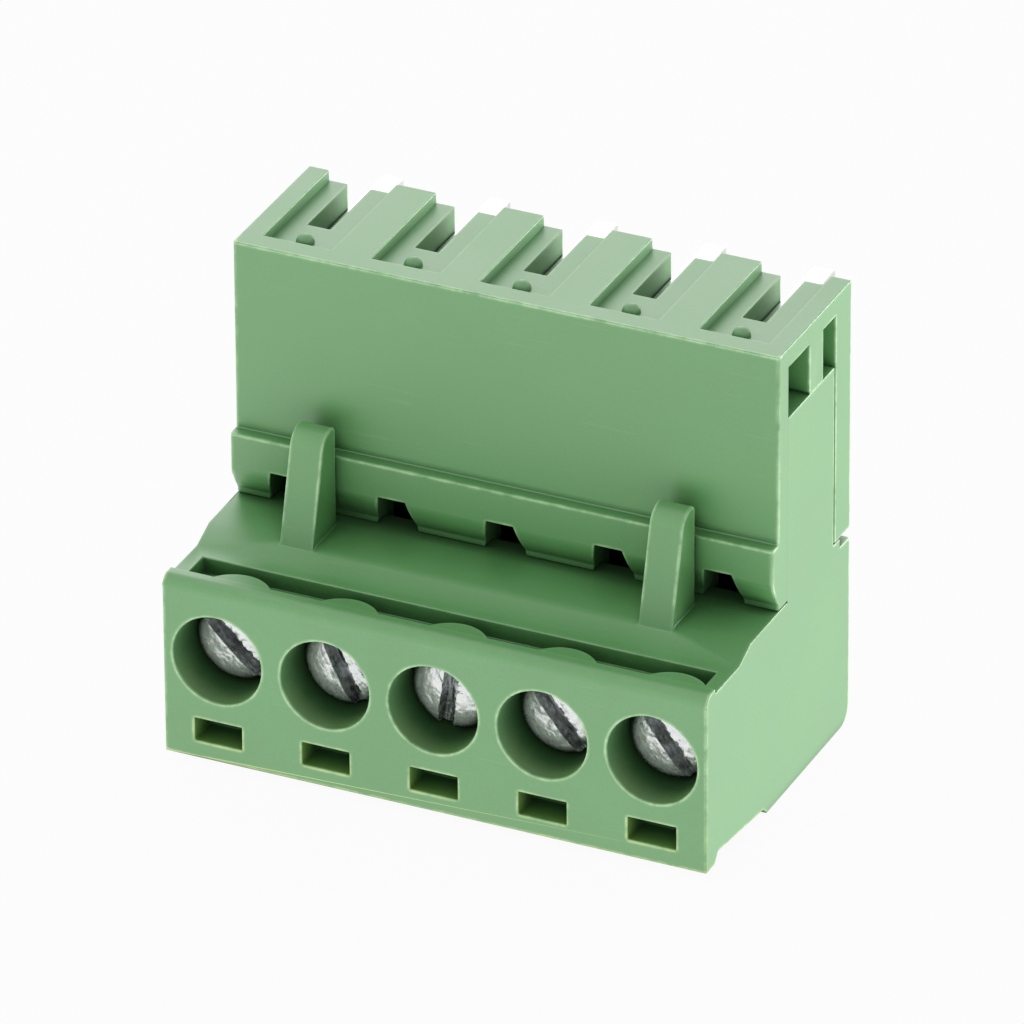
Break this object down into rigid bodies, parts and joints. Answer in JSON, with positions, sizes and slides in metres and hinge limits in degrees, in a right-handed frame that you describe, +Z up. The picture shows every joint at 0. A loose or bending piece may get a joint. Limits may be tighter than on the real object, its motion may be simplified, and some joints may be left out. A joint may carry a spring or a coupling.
{
  "type": "pluggable terminal block",
  "caption": "Green pluggable screw terminal block mated with a right-angle open-ended pin header; slotted clamp screws draw rising cages up against spring contacts.",
  "frame": {"origin": "on the bench face, under the middle of the whole block with its pins", "axes": "+X along the row of poles, +Y from the screw face towards the pin tails, +Z up from the bench face towards the header"},
  "size_m": [0.0254, 0.0186, 0.0215],
  "materials": {
    "green_plastic": "satin moulded",
    "plated_screw": "bright zinc plated",
    "plated_cage": "nickel plated",
    "tinned_contact": "satin tin",
    "tinned_pin": "bright tin"
  },
  "bodies": {
    "plug": {"plug_housing": "green_plastic", "spring_contact_1": "tinned_contact", "spring_contact_2": "tinned_contact", "spring_contact_3": "tinned_contact", "spring_contact_4": "tinned_contact", "spring_contact_5": "tinned_contact"},
    "header": {"header_housing": "green_plastic", "header_pin_1": "tinned_pin", "header_pin_2": "tinned_pin", "header_pin_3": "tinned_pin", "header_pin_4": "tinned_pin", "header_pin_5": "tinned_pin"},
    "screw_1": {"clamp_screw_1": "plated_screw"},
    "cage_1": {"wire_cage_1": "plated_cage"},
    "screw_2": {"clamp_screw_2": "plated_screw"},
    "cage_2": {"wire_cage_2": "plated_cage"},
    "screw_3": {"clamp_screw_3": "plated_screw"},
    "cage_3": {"wire_cage_3": "plated_cage"},
    "screw_4": {"clamp_screw_4": "plated_screw"},
    "cage_4": {"wire_cage_4": "plated_cage"},
    "screw_5": {"clamp_screw_5": "plated_screw"},
    "cage_5": {"wire_cage_5": "plated_cage"}
  },
  "joints": [
    {"name": "header_slide", "type": "slide", "parent": "plug", "child": "header", "axis": [0, 0, 1], "range_m": [0, 0.01]},
    {"name": "screw_1_turn", "type": "hinge", "parent": "plug", "child": "screw_1", "pos_m": [-0.01016, 0, 0.00538], "axis": [0, 1, 0], "range_deg": [0, 2160]},
    {"name": "cage_1_slide", "type": "slide", "parent": "plug", "child": "cage_1", "axis": [0, -1, 0], "range_m": [0, 0.003]},
    {"name": "screw_2_turn", "type": "hinge", "parent": "plug", "child": "screw_2", "pos_m": [-0.00508, 0, 0.00538], "axis": [0, 1, 0], "range_deg": [0, 2160]},
    {"name": "cage_2_slide", "type": "slide", "parent": "plug", "child": "cage_2", "axis": [0, -1, 0], "range_m": [0, 0.003]},
    {"name": "screw_3_turn", "type": "hinge", "parent": "plug", "child": "screw_3", "pos_m": [0, 0, 0.00538], "axis": [0, 1, 0], "range_deg": [0, 2160]},
    {"name": "cage_3_slide", "type": "slide", "parent": "plug", "child": "cage_3", "axis": [0, -1, 0], "range_m": [0, 0.003]},
    {"name": "screw_4_turn", "type": "hinge", "parent": "plug", "child": "screw_4", "pos_m": [0.00508, 0, 0.00538], "axis": [0, 1, 0], "range_deg": [0, 2160]},
    {"name": "cage_4_slide", "type": "slide", "parent": "plug", "child": "cage_4", "axis": [0, -1, 0], "range_m": [0, 0.003]},
    {"name": "screw_5_turn", "type": "hinge", "parent": "plug", "child": "screw_5", "pos_m": [0.01016, 0, 0.00538], "axis": [0, 1, 0], "range_deg": [0, 2160]},
    {"name": "cage_5_slide", "type": "slide", "parent": "plug", "child": "cage_5", "axis": [0, -1, 0], "range_m": [0, 0.003]}
  ],
  "couplings": [
    {"joint": "screw_1_turn", "follows": "cage_1_slide", "rad_per_m": 12566},
    {"joint": "screw_2_turn", "follows": "cage_2_slide", "rad_per_m": 12566},
    {"joint": "screw_3_turn", "follows": "cage_3_slide", "rad_per_m": 12566},
    {"joint": "screw_4_turn", "follows": "cage_4_slide", "rad_per_m": 12566},
    {"joint": "screw_5_turn", "follows": "cage_5_slide", "rad_per_m": 12566}
  ]
}
